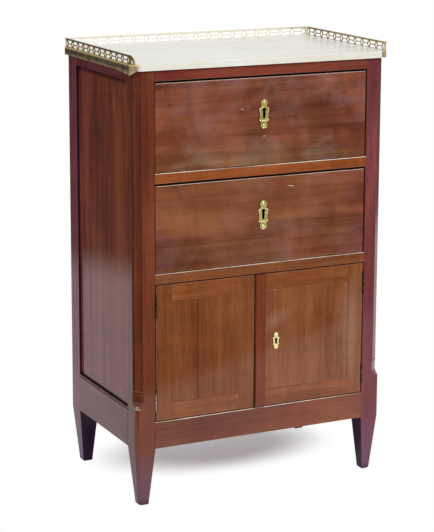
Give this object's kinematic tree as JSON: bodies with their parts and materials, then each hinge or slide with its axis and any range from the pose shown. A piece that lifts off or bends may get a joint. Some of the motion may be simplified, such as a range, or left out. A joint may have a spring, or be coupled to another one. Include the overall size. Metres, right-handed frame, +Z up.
{
  "type": "side cabinet",
  "caption": "Tall narrow side cabinet on tapered feet with stacked drawers over a pair of hinged doors, chamfered posts and a marble top inside a pierced brass gallery.",
  "frame": {"origin": "on the floor, under the middle of the cabinet's box", "axes": "+X to the cabinet's right as seen from the front, +Y to its back, +Z up"},
  "size_m": [0.562, 0.344, 0.897],
  "materials": {
    "mahogany": "glossy polish",
    "oak": "plain",
    "brass": "polished",
    "steel": "plain",
    "marble": "polished"
  },
  "bodies": {
    "carcase": {"front_left_post": "mahogany", "front_right_post": "mahogany", "rear_left_post": "mahogany", "rear_right_post": "mahogany", "left_side_panel": "mahogany", "right_side_panel": "mahogany", "side_top_rails": "mahogany", "left_skirt": "mahogany", "right_skirt": "mahogany", "front_top_rail": "mahogany", "drawer_rail": "mahogany", "cupboard_rail": "mahogany", "apron": "mahogany", "back_top_rail": "oak", "back_skirt": "oak", "back_panel": "oak", "drawer_runners": "oak", "drawer_guides": "oak", "drawer_stops": "oak", "top_kickers": "oak", "dust_panels": "oak", "cupboard_floor": "oak", "shelf": "oak", "shelf_battens": "oak", "gallery_band": "brass", "gallery_fret": "brass", "gallery_cap": "brass", "hinge_post_leaves": "brass", "hinge_pins": "steel", "marble_top": "marble"},
    "upper_drawer": {"upper_drawer_front": "mahogany", "upper_drawer_sides": "oak", "upper_drawer_back": "oak", "upper_drawer_bottom": "oak", "upper_escutcheon": "brass", "upper_lock_case": "brass"},
    "upper_lock": {"upper_lock_bolt": "brass"},
    "lower_drawer": {"lower_drawer_front": "mahogany", "lower_drawer_sides": "oak", "lower_drawer_back": "oak", "lower_drawer_bottom": "oak", "lower_escutcheon": "brass", "lower_lock_case": "brass"},
    "lower_lock": {"lower_lock_bolt": "brass"},
    "left_door": {"left_door_stiles": "mahogany", "left_door_rails": "mahogany", "left_door_panel": "mahogany", "left_hinge_leaves": "brass", "left_door_bolt_plates": "brass", "lock_keeper": "brass"},
    "left_top_bolt": {"left_door_top_bolt": "brass"},
    "left_foot_bolt": {"left_door_foot_bolt": "brass"},
    "right_door": {"right_door_stiles": "mahogany", "right_door_rails": "mahogany", "right_door_panel": "mahogany", "closing_strip": "mahogany", "right_hinge_leaves": "brass", "door_escutcheon": "brass", "door_lock_case": "brass"},
    "door_lock": {"door_lock_bolt": "brass"}
  },
  "joints": [
    {"name": "upper_drawer_slide", "type": "slide", "parent": "carcase", "child": "upper_drawer", "axis": [0, -1, 0], "range_m": [0, 0.21]},
    {"name": "lower_drawer_slide", "type": "slide", "parent": "carcase", "child": "lower_drawer", "axis": [0, -1, 0], "range_m": [0, 0.21]},
    {"name": "left_door_hinge", "type": "hinge", "parent": "carcase", "child": "left_door", "pos_m": [-0.232, -0.1688, 0.31], "axis": [0, 0, -1], "range_deg": [0, 115]},
    {"name": "right_door_hinge", "type": "hinge", "parent": "carcase", "child": "right_door", "pos_m": [0.232, -0.1688, 0.31], "axis": [0, 0, 1], "range_deg": [0, 115]},
    {"name": "upper_lock_throw", "type": "slide", "parent": "upper_drawer", "child": "upper_lock", "axis": [0, 0, 1], "range_m": [0, 0.009]},
    {"name": "lower_lock_throw", "type": "slide", "parent": "lower_drawer", "child": "lower_lock", "axis": [0, 0, 1], "range_m": [0, 0.009]},
    {"name": "door_lock_throw", "type": "slide", "parent": "right_door", "child": "door_lock", "axis": [-1, 0, 0], "range_m": [0, 0.01]},
    {"name": "left_top_bolt_throw", "type": "slide", "parent": "left_door", "child": "left_top_bolt", "axis": [0, 0, 1], "range_m": [0, 0.012]},
    {"name": "left_foot_bolt_throw", "type": "slide", "parent": "left_door", "child": "left_foot_bolt", "axis": [0, 0, -1], "range_m": [0, 0.012]}
  ]
}
